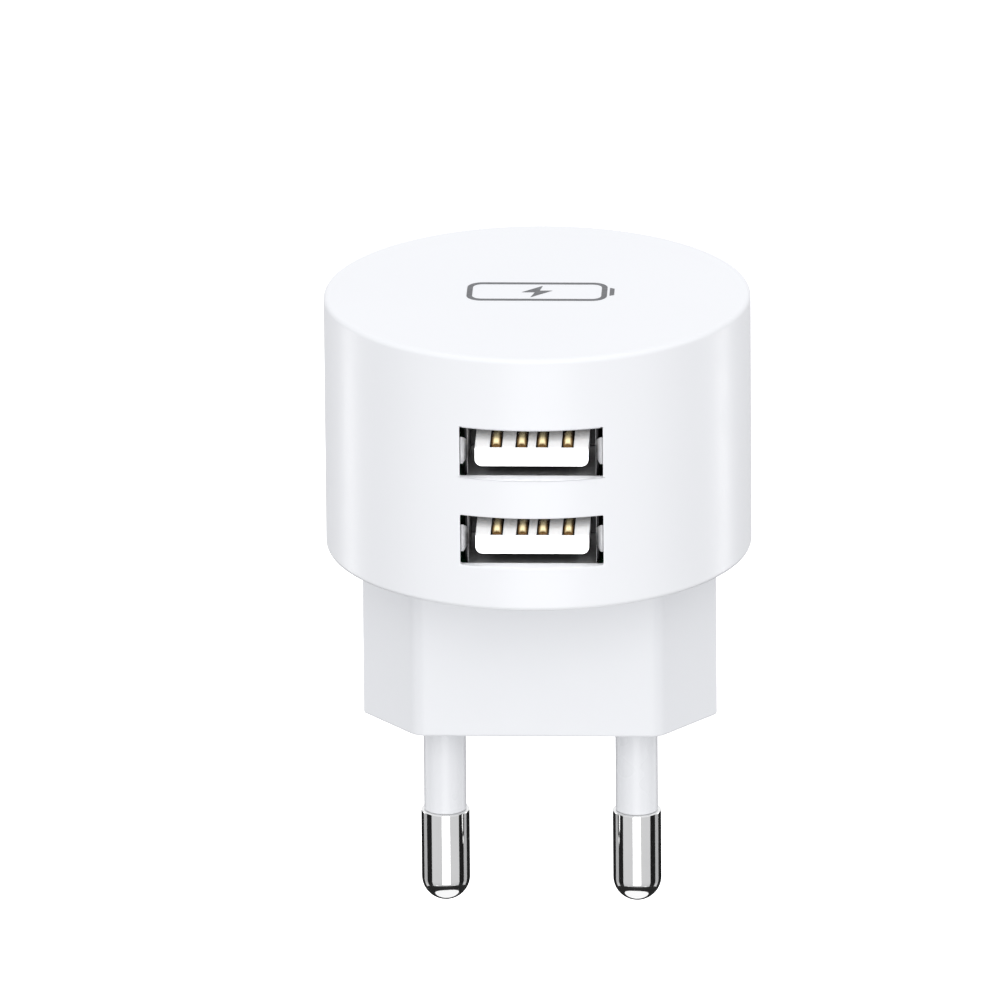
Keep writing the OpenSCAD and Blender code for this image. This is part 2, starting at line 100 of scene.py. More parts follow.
def add_camera():
    """A long lens from a little above and a hair to the right, tipped a hair, as in a catalogue."""
    distance, view_width = 2.0, 99.0 * MM
    aim_left, aim_up = 4.0 * MM, 21.1 * MM
    azimuth, elevation, tip = 2.17, 19.1, math.radians(0.49)
    back, level_right, level_up = view_axes(azimuth, elevation)
    right = level_right * math.cos(tip) - level_up * math.sin(tip)
    up = level_up * math.cos(tip) + level_right * math.sin(tip)
    data = bpy.data.cameras.new("camera")
    data.lens = data.sensor_width * distance / view_width
    camera = add_object("camera", data)
    camera.location = up * aim_up - right * aim_left + back * distance
    camera.rotation_euler = Matrix((right, up, back)).transposed().to_euler()
    bpy.context.scene.camera = camera


def add_softbox(name, azimuth, elevation, distance, width, height, radiance):
    """An area light that points at the middle of the charger."""
    centre = Vector((0, 0, 15 * MM))
    back, right, up = view_axes(azimuth, elevation)
    data = bpy.data.lights.new(name, "AREA")
    data.shape, data.size, data.size_y = "RECTANGLE", width, height
    data.energy = radiance * width * height * math.pi
    light = add_object(name, data)
    light.location = centre + back * distance
    light.rotation_euler = Matrix((right, up, back)).transposed().to_euler()
    return light


def light_only(light, pieces):
    """Lets a light fall on those pieces alone."""
    lit = bpy.data.collections.new(f"{light.name}_pieces")
    for piece in pieces:
        lit.objects.link(piece)
    light.light_linking.receiver_collection = lit


def add_world(below, above):
    """A white room that is dimmer below the charger than above it."""
    world = bpy.data.worlds.new("studio")
    bpy.context.scene.world = world
    world.use_nodes = True
    tree = world.node_tree
    background = tree.nodes["Background"]
    background.inputs["Color"].default_value = (0.975, 0.98, 1.0, 1)
    direction = tree.nodes.new("ShaderNodeTexCoord").outputs["Generated"]
    height = node(tree, "ShaderNodeSeparateXYZ", Vector=direction).outputs["Z"]
    tree.links.new(spread(tree, height, below, above, -1.0, 0.35), background.inputs["Strength"])


def white_surface(name, lit):
    """White paint that is also lit a little from within, as a light table is."""
    paint = plastic(name, (0.9, 0.9, 0.9), 0.9, 0.0)
    bsdf = paint.node_tree.nodes["Principled BSDF"]
    bsdf.inputs["Emission Color"].default_value = (1, 1, 1, 1)
    bsdf.inputs["Emission Strength"].default_value = lit
    return paint


def add_floor():
    half, z = 1.7, -1.5
    corners = [(-half, -half, z), (half, -half, z), (half, half, z), (-half, half, z)]
    floor = mesh_object("floor", corners, [(0, 1, 2, 3)])
    floor.data.materials.append(white_surface("floor_paint", 0.16))
    floor.visible_diffuse = False


def add_backdrop():
    """A white wall all round, which only the camera sees."""
    backdrop = lathe("backdrop", arc((0, 0), 2.3, -90, 90, 48), 96)
    backdrop.data.materials.append(white_surface("backdrop_paint", 1.0))
    for ray in ("diffuse", "glossy", "transmission", "volume_scatter", "shadow"):
        setattr(backdrop, f"visible_{ray}", False)


def add_card(name, start, end, profile, shade):
    """A card that only reflections see, swept round the axis from one azimuth to another."""
    steps, count = 36, len(profile)
    points = []
    for i in range(steps + 1):
        a = math.radians(start + (end - start) * i / steps)
        points += [(radius * math.sin(a), -radius * math.cos(a), z) for radius, z in profile]
    faces = [(i * count + j, (i + 1) * count + j, (i + 1) * count + j + 1, i * count + j + 1)
             for i in range(steps) for j in range(count - 1)]
    card = mesh_object(name, points, faces)
    card.data.materials.append(plastic(f"card_paint_{shade}", (shade, shade, shade), 1.0, 0.0))
    for ray in ("camera", "diffuse", "transmission", "volume_scatter", "shadow"):
        setattr(card, f"visible_{ray}", False)


def add_lights():
    """A soft key, a fill from above, and low lights that the casing and sleeves reflect."""
    add_softbox("front_key", 3, 27, 1.2, 0.6, 0.6, 1.9)
    add_softbox("top_fill", 0, 84, 1.2, 1.2, 1.2, 0.3)
    add_softbox("low_strip", 2, -20, 0.32, 0.19, 0.16, 1.9)
    add_softbox("rim_left", -118, -16.5, 0.3, 0.06, 0.06, 2.8)
    add_softbox("rim_right", 118, -16.5, 0.3, 0.06, 0.06, 2.8)


def add_cards():
    """Cards all round and a ring below, which give the bright pins their bands and dark feet."""
    ring_z, inner_r, ring_r, wall_r = cad_bounds[0].z - 149 * MM, 97 * MM, 215 * MM, 309 * MM
    step_z, top_z = -104 * MM, 10 * MM
    ring = [(ring_r, ring_z), (inner_r, ring_z)]
    low_wall = [(wall_r, step_z), (wall_r, ring_z), ring[0]]
    full_wall = [(wall_r, top_z)] + low_wall[1:]
    for side, sign in (("left", -1), ("right", 1)):
        add_card(f"card_{side}", sign * 68, sign * 98, full_wall, BLACK)
        add_card(f"card_grey_{side}", sign * 98, sign * 122, low_wall, GREY)
    add_card("card_back", 122, 238, low_wall, BLACK)
    add_card("card_back_upper", 122, 238, [(wall_r, top_z), (wall_r, step_z)], PALE)
    add_card("card_ring", -180, 180, ring, BLACK)


# ---------------------------------------------------------------- materials

def shader(name):
    """The material of that name with its tree and shader, or with two Nones if it was made before."""
    material = bpy.data.materials.get(name)
    if material:
        return material, None, None
    material = bpy.data.materials.new(name)
    material.use_nodes = True
    tree = material.node_tree
    return material, tree, tree.nodes["Principled BSDF"]


def node(tree, kind, **inputs):
    """A node of that kind, with its inputs set from numbers or linked from sockets."""
    made = tree.nodes.new(kind)
    for key, value in inputs.items():
        socket = made.inputs[key.replace("_", " ")] if isinstance(key, str) else made.inputs[key]
        if isinstance(value, bpy.types.NodeSocket):
            tree.links.new(value, socket)
        else:
            socket.default_value = value
    return made


def noise(tree, scale, detail=3.0, stretch=(1, 1, 1)):
    """Noise in the object's own coordinates; scale is in features a metre."""
    coords = tree.nodes.new("ShaderNodeTexCoord").outputs["Object"]
    mapping = node(tree, "ShaderNodeMapping", Vector=coords)
    mapping.inputs["Scale"].default_value = stretch
    made = node(tree, "ShaderNodeTexNoise", Vector=mapping.outputs[0], Scale=scale, Detail=detail)
    return made.outputs["Fac"]


def position(tree):
    coords = tree.nodes.new("ShaderNodeTexCoord").outputs["Object"]
    return node(tree, "ShaderNodeSeparateXYZ", Vector=coords).outputs


def spread(tree, value, low, high, from_low=0.3, from_high=0.7):
    """Maps a value's range onto low to high, and holds it there beyond the range's ends."""
    made = node(tree, "ShaderNodeMapRange", Value=value, From_Min=from_low, From_Max=from_high,
                To_Min=low, To_Max=high)
    return made.outputs["Result"]


def mix(tree, factor, a, b):
    """Blends two colours, each a socket or (red, green, blue)."""
    made = tree.nodes.new("ShaderNodeMix")
    made.data_type = "RGBA"
    for key, value in ((0, factor), (6, a), (7, b)):
        if isinstance(value, bpy.types.NodeSocket):
            tree.links.new(value, made.inputs[key])
        else:
            made.inputs[key].default_value = value if key == 0 else (*value, 1)
    return made.outputs[2]


def math_node(tree, operation, a, b=0.0):
    made = tree.nodes.new("ShaderNodeMath")
    made.operation = operation
    for i, value in enumerate((a, b)):
        if isinstance(value, bpy.types.NodeSocket):
            tree.links.new(value, made.inputs[i])
        else:
            made.inputs[i].default_value = value
    return made.outputs[0]


def bump(tree, bsdf, height, distance, strength=1.0):
    made = node(tree, "ShaderNodeBump", Height=height, Distance=distance, Strength=strength)
    tree.links.new(made.outputs[0], bsdf.inputs["Normal"])


def paint_clouds(tree, bsdf, clouds, color, vary):
    """Links a base colour that wanders between a little darker and a little lighter than color."""
    cloudy = mix(tree, clouds, tint(color, 1 - vary), tint(color, 1 + vary))
    tree.links.new(cloudy, bsdf.inputs["Base Color"])


def tint(color, share):
    return tuple(min(1.0, c * share) for c in color)


def plastic(name, color, rough, grain=0.0015 * MM, vary=0.006, grain_scale=5200):
    """Moulded plastic: faint flow clouds in the colour, uneven gloss and a fine spark-eroded grain."""
    material, tree, bsdf = shader(name)
    if tree is None:
        return material
    clouds = spread(tree, noise(tree, 60, 1), 0, 1, 0.2, 0.8)
    paint_clouds(tree, bsdf, clouds, color, vary)
    gloss = spread(tree, noise(tree, 240, 1), rough * 0.92, min(1.0, rough * 1.08), 0.2, 0.8)
    tree.links.new(gloss, bsdf.inputs["Roughness"])
    bsdf.inputs["IOR"].default_value = 1.47
    if grain:
        bump(tree, bsdf, noise(tree, grain_scale, 2), grain)
    return material


def metal(name, color, rough, brushed=(1, 1, 1), scratch=0.002 * MM, scale=3000, vary=0.05):
    """Plated metal: cloudy tone, uneven polish, and fine lines drawn out along the brushed direction."""
    material, tree, bsdf = shader(name)
    if tree is None:
        return material
    clouds = spread(tree, noise(tree, 260, 4), 0, 1)
    paint_clouds(tree, bsdf, clouds, color, vary)
    bsdf.inputs["Metallic"].default_value = 1.0
    lines = noise(tree, scale, 2, brushed)
    tree.links.new(spread(tree, lines, rough * 0.75, rough * 1.35), bsdf.inputs["Roughness"])
    bump(tree, bsdf, lines, scratch)
    return material


def gold_painted_highlight_and_shade(name, centre, half, tip_y):
    """Gold plating painted pale along a contact's middle as a painted highlight, with painted dark brown
    shade at its sides and tip.
    """
    material, tree, bsdf = shader(name)
    if tree is None:
        return material
    off = math_node(tree, "ABSOLUTE", math_node(tree, "SUBTRACT", position(tree)["X"], centre))
    waver = spread(tree, noise(tree, 2600, 3, (1, 0.3, 1)), -0.06 * MM, 0.06 * MM, 0, 1)
    # Painted shade: the colour turns dark brown towards the contact's sides and over its tip.
    side = spread(tree, math_node(tree, "ADD", off, waver), 0, 1, half * 0.34, half * 0.8)
    tip = spread(tree, position(tree)["Y"], 1, 0, tip_y + 0.25 * MM, tip_y + 0.6 * MM)
    painted_shade_mask = math_node(tree, "MAXIMUM", side, tip)
    tree.links.new(mix(tree, painted_shade_mask, (1.0, 0.84, 0.5), (0.12, 0.065, 0.022)), bsdf.inputs["Base Color"])
    bsdf.inputs["Metallic"].default_value = 0.25
    lines = noise(tree, 3000, 2, (3, 0.3, 1))
    tree.links.new(spread(tree, lines, 0.16, 0.3), bsdf.inputs["Roughness"])
    bump(tree, bsdf, lines, 0.001 * MM)
    return material


def insulator(name, cad_node):
    """White moulded plastic, with painted shade in the contacts' slots and behind the tongue."""
    material, tree, bsdf = shader(name)
    if tree is None:
        return material
    clouds = spread(tree, noise(tree, 400, 2), 0, 1, 0.2, 0.8)
    white = mix(tree, clouds, (0.925, 0.925, 0.93), (0.94, 0.94, 0.945))
    low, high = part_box(cad_node)
    points = [v.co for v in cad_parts[cad_node].data.vertices]
    tongue_top = max(p.z for p in points if p.y < low.y + 1 * MM)
    places = position(tree)
    # Painted shade: near black deep behind the tongue and inside the contacts' slots.
    shade_behind = spread(tree, places["Y"], 0, 1, low.y + 5.5 * MM, low.y + 7 * MM)
    slot_shade = spread(tree, places["Y"], 0, 1, low.y + 0.2 * MM, low.y + 0.28 * MM)
    across = spread(tree, math_node(tree, "ABSOLUTE", places["X"]), 1, 0, 4.3 * MM, 4.4 * MM)
    below = spread(tree, places["Z"], 1, 0, tongue_top - 0.16 * MM, tongue_top - 0.08 * MM)
    for inside in (across, below):
        slot_shade = math_node(tree, "MULTIPLY", slot_shade, inside)
    dark = math_node(tree, "MAXIMUM", shade_behind, slot_shade)
    tree.links.new(mix(tree, dark, white, (0.025, 0.025, 0.027)), bsdf.inputs["Base Color"])
    tree.links.new(spread(tree, noise(tree, 1500, 2), 0.36, 0.46), bsdf.inputs["Roughness"])
    bsdf.inputs["Subsurface Weight"].default_value = 0.3
    bsdf.inputs["Subsurface Radius"].default_value = (1, 0.95, 0.9)
    bsdf.inputs["Subsurface Scale"].default_value = 0.4 * MM
    bump(tree, bsdf, noise(tree, 5200, 2), 0.001 * MM)
    return material


def receptacle_steel(name, lip_y):
    """Nickel-plated sheet: bright on the flared side lips, matt grey in the middle, and painted shade
    inwards from the lips at the sides, down to near black.
    """
    material, tree, bsdf = shader(name)
    if tree is None:
        return material
    places = position(tree)
    # Painted shade: behind the lips the sides fade from bright to near black.
    depth = spread(tree, places["Y"], 1, 0, lip_y + 0.15 * MM, lip_y + 0.68 * MM)
    beside = math_node(tree, "GREATER_THAN", math_node(tree, "ABSOLUTE", places["X"]), 6.3 * MM)
    bright = math_node(tree, "MULTIPLY", depth, beside)
    cloud = spread(tree, noise(tree, 1400, 3), 0, 1)
    plating_and_shade = mix(tree, cloud, (0.46, 0.46, 0.465), (0.56, 0.56, 0.565))
    # Painted shade: near black beside the tongue.
    plating_and_shade = mix(tree, beside, plating_and_shade, (0.016, 0.016, 0.017))
    tree.links.new(mix(tree, bright, plating_and_shade, (0.55, 0.55, 0.56)), bsdf.inputs["Base Color"])
    tree.links.new(spread(tree, bright, 0.85, 0.35, 0, 1), bsdf.inputs["Metallic"])
    lines = noise(tree, 3200, 2, (1, 0.2, 1))
    tree.links.new(spread(tree, lines, 0.28, 0.46), bsdf.inputs["Roughness"])
    bump(tree, bsdf, lines, 0.002 * MM)
    return material


def printed_ink():
    """Pad-printed ink: a little uneven in cover, duller than the plastic under it."""
    material, tree, bsdf = shader("printed_ink")
    if tree is None:
        return material
    cover = spread(tree, noise(tree, 4200, 3), 0, 1)
    ink = mix(tree, cover, (0.115, 0.118, 0.125), (0.15, 0.152, 0.16))
    tree.links.new(ink, bsdf.inputs["Base Color"])
    tree.links.new(spread(tree, noise(tree, 2400, 2), 0.42, 0.6), bsdf.inputs["Roughness"])
    bump(tree, bsdf, cover, 0.003 * MM)
    return material


def laminate():
    """Circuit board: green solder mask over copper tracks, which run square to each other."""
    material, tree, bsdf = shader("laminate")
    if tree is None:
        return material
    coords = tree.nodes.new("ShaderNodeTexCoord").outputs["Object"]
    grid = tree.nodes.new("ShaderNodeVectorMath")
    grid.operation = "SNAP"
    tree.links.new(coords, grid.inputs[0])
    grid.inputs[1].default_value = (0.35 * MM,) * 3
    copper = node(tree, "ShaderNodeTexNoise", Vector=grid.outputs[0], Scale=330.0, Detail=0.0)
    band = math_node(tree, "FRACT", math_node(tree, "MULTIPLY", copper.outputs["Fac"], 9.0))
    tracks = math_node(tree, "GREATER_THAN", band, 0.5)
    mask = mix(tree, spread(tree, noise(tree, 900, 2), 0, 1), (0.012, 0.10, 0.04), (0.018, 0.13, 0.055))
    tree.links.new(mix(tree, tracks, mask, (0.022, 0.15, 0.06)), bsdf.inputs["Base Color"])
    tree.links.new(spread(tree, noise(tree, 2600, 2), 0.28, 0.4), bsdf.inputs["Roughness"])
    bump(tree, bsdf, tracks, 0.02 * MM)
    return material


def tape(name, color):
    """Polyester tape wound in bands, with a darker line where a band laps the last."""
    material, tree, bsdf = shader(name)
    if tree is None:
        return material
    band = math_node(tree, "FRACT", math_node(tree, "MULTIPLY", position(tree)["Z"], 330.0))
    lap = spread(tree, band, 1, 0, 0.02, 0.08)
    film = mix(tree, spread(tree, noise(tree, 500, 3), 0, 1), tint(color, 0.86), tint(color, 1.1))
    tree.links.new(mix(tree, lap, film, tint(color, 0.45)), bsdf.inputs["Base Color"])
    tree.links.new(spread(tree, noise(tree, 1500, 2), 0.18, 0.34), bsdf.inputs["Roughness"])
    bump(tree, bsdf, band, 0.05 * MM)
    return material


def can_sleeve(name, box, base_z, color, stripe):
    """A capacitor's shrink sleeve, with a pale stripe on its negative side and a bare end."""
    material, tree, bsdf = shader(name)
    if tree is None:
        return material
    low, high = box
    places = position(tree)
    middle, radius = (low + high) / 2, (high.x - low.x) / 2
    on_stripe = math_node(tree, "GREATER_THAN", places["X"], middle.x + radius * 0.82)
    if base_z < middle.z:
        from_end = math_node(tree, "SUBTRACT", high.z, places["Z"])
    else:
        from_end = math_node(tree, "SUBTRACT", places["Z"], low.z)
    bare = math_node(tree, "LESS_THAN", from_end, 0.16 * MM)
    film = mix(tree, spread(tree, noise(tree, 800, 3), 0, 1), tint(color, 0.8), tint(color, 1.3))
    marked = mix(tree, on_stripe, film, stripe)
    tree.links.new(mix(tree, bare, marked, (0.62, 0.63, 0.65)), bsdf.inputs["Base Color"])
    tree.links.new(bare, bsdf.inputs["Metallic"])
    tree.links.new(spread(tree, noise(tree, 1800, 2), 0.2, 0.36), bsdf.inputs["Roughness"])
    bump(tree, bsdf, noise(tree, 1200, 3), 0.02 * MM)
    return material


# ---------------------------------------------------------------- mesh helpers

def add_object(name, data):
    made = bpy.data.objects.new(name, data)
    bpy.context.scene.collection.objects.link(made)
    return made


def mesh_object(name, points, faces):
    data = bpy.data.meshes.new(name)
    data.from_pydata([tuple(p) for p in points], [], faces)
    data.update()
    return add_object(name, data)


def smooth(obj, angle=32):
    obj.data.shade_smooth()
    obj.data.set_sharp_from_angle(angle=math.radians(angle))
    return obj


def arc(centre, radius, start, end, steps=8):
    """Points of an arc in a plane, from a start angle to an end angle in degrees."""
    turns = [math.radians(start + (end - start) * i / steps) for i in range(steps + 1)]
    return [(centre[0] + radius * math.cos(t), centre[1] + radius * math.sin(t)) for t in turns]


def rings_object(name, rings, closed=False, caps=True):
    """A skin over rings with the same number of points, closed into a loop or capped if asked."""
    count = len(rings[0])
    points = [p for ring in rings for p in ring]
    pairs = [(i, i + 1) for i in range(len(rings) - 1)] + ([(len(rings) - 1, 0)] if closed else [])
    faces = [(a * count + j, a * count + (j + 1) % count, b * count + (j + 1) % count, b * count + j)
             for a, b in pairs for j in range(count)]
    if caps and not closed:
        faces.append(tuple(reversed(range(count))))
        faces.append(tuple((len(rings) - 1) * count + j for j in range(count)))
    made = mesh_object(name, points, faces)
    tidy(made)
    return made


def tidy(obj, merge=1e-8):
    """Joins points that coincide, drops faces without area, and turns every face outwards."""
    mesh = bmesh.new()
    mesh.from_mesh(obj.data)
    bmesh.ops.remove_doubles(mesh, verts=mesh.verts, dist=merge)
    bmesh.ops.dissolve_degenerate(mesh, edges=mesh.edges, dist=merge)
    bmesh.ops.recalc_face_normals(mesh, faces=mesh.faces)
    mesh.to_mesh(obj.data)
    mesh.free()


def held(profile, gap=0.06 * MM):
    """A profile with points close to the ends of its long runs, so smooth shading keeps them flat."""
    points = [profile[0]]
    for a, b in zip(profile, profile[1:]):
        length = math.dist(a, b)
        if length > 4 * gap:
            for share in (gap / length, 1 - gap / length):
                points.append(tuple(p + (q - p) * share for p, q in zip(a, b)))
        points.append(b)
    return points


def lathe(name, profile, segments=192, closed=False, centre=(0, 0)):
    """A turned piece from (radius, z) points, round an upright axis that an open profile meets twice."""
    turns = [math.tau * j / segments for j in range(segments)]
    rings = [[(centre[0] + radius * math.cos(t), centre[1] + radius * math.sin(t), z) for t in turns]
             for radius, z in held(profile)]
    return rings_object(name, rings, closed=closed, caps=False)


def rounded_rectangle(half_w, half_h, corner, steps, centre=(0, 0)):
    outline = []
    for x, y, start in ((1, 1, 0), (-1, 1, 90), (-1, -1, 180), (1, -1, 270)):
        middle = (centre[0] + x * (half_w - corner), centre[1] + y * (half_h - corner))
        outline += arc(middle, corner, start, start + 90, steps)
    return outline


def block(name, low, high):
    x, y, z = zip(low, high)
    points = [(a, b, c) for a in x for b in y for c in z]
    faces = [(0, 1, 3, 2), (4, 6, 7, 5), (0, 4, 5, 1), (2, 3, 7, 6), (0, 2, 6, 4), (1, 5, 7, 3)]
    made = mesh_object(name, points, faces)
    tidy(made)
    return made


def cut_out(obj, tools):
    """Cuts tools out of obj, and removes the tools."""
    for tool in tools:
        modifier = obj.modifiers.new("cut", "BOOLEAN")
        modifier.operation, modifier.solver, modifier.object = "DIFFERENCE", "EXACT", tool
    graph = bpy.context.evaluated_depsgraph_get()
    data = bpy.data.meshes.new_from_object(obj.evaluated_get(graph))
    obj.modifiers.clear()
    obj.data = data
    for tool in tools:
        bpy.data.objects.remove(tool)
    tidy(obj, 2e-7)


def round_edges(mesh, chosen, width, clamp):
    """Rounds those edges of an open bmesh that lie between two faces and that chosen(edge) picks."""
    edges = [e for e in mesh.edges if len(e.link_faces) == 2 and chosen(e)]
    bmesh.ops.bevel(mesh, geom=edges, offset=width, segments=2, profile=0.5, affect="EDGES",
                    clamp_overlap=clamp)


def finish_piece(obj, body, slot, material, *nodes, angle=32):
    """Gives a piece its material, shading and body, and hides the CAD nodes that it replaces; slot is
    not used.
    """
    obj.data.materials.clear()
    obj.data.materials.append(material)
    smooth(obj, angle)
    weighted = obj.modifiers.new("weighted", "WEIGHTED_NORMAL")
    weighted.keep_sharp = True
    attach(obj, body)
    if nodes:
        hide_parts(*nodes)
    return obj


def refined_copy(name, cad_node, width, angle=35):
    """A copy of a CAD node with its flat faces whole again and its sharp edges rounded."""
    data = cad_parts[cad_node].data.copy()
    data.materials.clear()
    mesh = bmesh.new()
    mesh.from_mesh(data)
    bmesh.ops.remove_doubles(mesh, verts=mesh.verts, dist=2e-6)
    bmesh.ops.dissolve_limit(mesh, angle_limit=math.radians(1), verts=mesh.verts, edges=mesh.edges)
    bmesh.ops.recalc_face_normals(mesh, faces=mesh.faces)
    round_edges(mesh, lambda edge: edge.calc_face_angle(0) > math.radians(angle), width, True)
    mesh.to_mesh(data)
    mesh.free()
    return add_object(name, data)


# ---------------------------------------------------------------- casing

def port_box(side):
    """(middle of the mouth in x and z, the lips' y) of a receptacle."""
    low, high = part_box(f"{side}_usb_shell")
    return (low.x + high.x) / 2, (low.z + high.z) / 2, low.y


def window_cutter(name, x, z, y_out):
    """A box with slightly rounded corners that opens a port's window."""
    outline = rounded_rectangle(WINDOW_W / 2, PORT_H / 2, 0.14 * MM, 4, (x, z))
    rings = [[(px, y, pz) for px, pz in outline] for y in (y_out, -5 * MM)]
    return rings_object(name, rings)


def drum_profile(low_z, high_z, radius, inner):
    """The drum's section, from the axis over the outside and back to the axis inside."""
    f, lead, ceiling = DRUM_FILLET, 0.12 * MM, high_z - DRUM_TOP
    height, bands = high_z - low_z - 2 * f, 48
    profile = [(0, high_z)] + arc((radius - f, high_z - f), f, 90, 0)
    profile += [(radius, high_z - f - height * i / bands) for i in range(1, bands)]
    profile += arc((radius - f, low_z + f), f, 0, -90)
    profile += [(inner + lead, low_z), (inner, low_z + lead), (inner, ceiling - lead)]
    return profile + [(inner - lead, ceiling), (0, ceiling)]


def add_drum():
    """The drum, hollowed, with a pocket for the receptacles and their two windows with eased rims."""
    low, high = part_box("outer_shell")
    radius, inner = high.x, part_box("plug_base")[1].x + FLANGE_SEAT
    drum = lathe("drum", drum_profile(low.z, high.z, radius, inner), 288)
    ports = [port_box(side) for side in ("upper", "lower")]
    shells_top, shells_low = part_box("upper_usb_shell")[1].z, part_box("lower_usb_shell")[0].z
    margin, gap, slack = 0.15 * MM, 0.05 * MM, 0.02 * MM
    pocket_w = WINDOW_W / 2 + 2 * margin
    pocket = block("pocket", (-pocket_w, ports[0][2] - gap, shells_low - margin),
                   (pocket_w, -12 * MM, shells_top + margin))
    windows = [window_cutter(f"window_{i}", x, z, -radius - 1 * MM) for i, (x, z, _) in enumerate(ports)]
    cut_out(drum, [pocket] + windows)

    def on_window_rim(edge):
        outside = all(v.co.y < 0 and abs(math.hypot(v.co.x, v.co.y) - radius) < slack
                      for v in edge.verts)
        middle = (edge.verts[0].co + edge.verts[1].co) / 2
        near = any(abs(middle.x - x) < WINDOW_W / 2 + slack and abs(middle.z - z) < PORT_H / 2 + slack
                   for x, z, _ in ports)
        return outside and near and edge.calc_face_angle(0) > math.radians(30)

    mesh = bmesh.new()
    mesh.from_mesh(drum.data)
    round_edges(mesh, on_window_rim, 0.1 * MM, False)
    mesh.to_mesh(drum.data)
    mesh.free()
    tidy(drum, 1e-7)
    white = plastic("drum_white", (0.86, 0.868, 0.885), 0.3)
    finish_piece(drum, "charger", "drum_plastic", white, "outer_shell")


def neck_corners(inset):
    """The six corners of the neck's outline, moved in by inset, with the radius of each corner."""
    slope = math.atan2(NECK_T, NECK_W - NECK_FLAT)
    w, t = NECK_W / 2 - inset / math.sin(slope), NECK_T / 2 - inset
    flat = w - t / math.tan(slope)
    front_r, side_r = max(CORNER_R - inset, 0.3 * MM), max(SIDE_R - inset, 0.2 * MM)
    half = [((w, 0), side_r), ((flat, t), front_r), ((-flat, t), front_r)]
    return half + [((-x, -y), radius) for (x, y), radius in half]


def neck_ring(inset, z, steps=10):
    """The neck's rounded outline at height z, with extra points along its straight sides."""
    corners = neck_corners(inset)
    turns = []
    for i, (corner, radius) in enumerate(corners):
        p, before, after = Vector(corner), Vector(corners[i - 1][0]), Vector(corners[(i + 1) % 6][0])
        u, v = (before - p).normalized(), (after - p).normalized()
        half = math.acos(u.dot(v)) / 2
        centre = p + (u + v).normalized() * radius / math.sin(half)
        first = p + u * radius / math.tan(half) - centre
        step = (math.pi - 2 * half) / steps
        turns.append([centre + Matrix.Rotation(step * k, 2) @ first for k in range(steps + 1)])
    points = []
    for i, turn in enumerate(turns):
        following = turns[(i + 1) % 6][0]
        extra = 40 if i in (1, 4) else 14
        points += turn + [turn[-1].lerp(following, k / extra) for k in range(1, extra)]
    return [(p.x, p.y, z) for p in points]


def round_ring(radius, z, guide):
    """A circle whose points lie in the same directions from the axis as another ring's."""
    ring = []
    for x, y, _ in guide:
        reach = radius / math.hypot(x, y)
        ring.append((x * reach, y * reach, z))
    return ring


def add_neck():
    """The neck with its flange and rim, one skin from the socket face up and back down inside."""
    flange_r, rim_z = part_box("plug_base")[1].x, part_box("plug_base")[1].z
    edge, root, bevel, hold = 0.22 * MM, 0.3 * MM, 0.12 * MM, 0.1 * MM
    top = NECK_H + FLANGE_T
    rings = []
    for degrees in (0, 22.5, 45, 67.5, 90):
        t = math.radians(degrees)
        rings.append(neck_ring(edge * (1 - math.sin(t)), edge * (1 - math.cos(t))))
    rings += [neck_ring(0, edge + hold), neck_ring(0, NECK_H - root - hold)]
    for degrees in (0, 30, 60, 90):
        t = math.radians(degrees)
        rings.append(neck_ring(-root * (1 - math.cos(t)), NECK_H - root * (1 - math.sin(t))))
    guide = neck_ring(0, 0)
    flange = [(flange_r - bevel, NECK_H), (flange_r, NECK_H + bevel), (flange_r, rim_z),
              (flange_r - RIM_W, rim_z), (flange_r - RIM_W, top)]
    rings += [round_ring(radius, z, guide) for radius, z in flange]
    rings += [neck_ring(NECK_WALL, top), neck_ring(NECK_WALL, NECK_FLOOR)]
    neck = rings_object("neck", rings)
    grooves = []
    for side in ("left", "right"):
        low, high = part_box(f"{side}_pin_sleeve")
        radius, floor_z, roof_z = (high.x - low.x) / 2 + 0.08 * MM, -1 * MM, 0.4 * MM
        section = [(0, floor_z), (radius, floor_z), (radius, roof_z), (0, roof_z)]
        grooves.append(lathe(f"groove_{side}", section, 96, centre=((low.x + high.x) / 2, 0)))
    cut_out(neck, grooves)
    # The neck's white is a little darker than the drum's: painted shade for the drum's overhang.
    white = plastic("neck_white_painted_shade", (0.815, 0.824, 0.842), 0.34)
    finish_piece(neck, "charger", "base_plastic", white, "plug_base")


# ---------------------------------------------------------------- pins

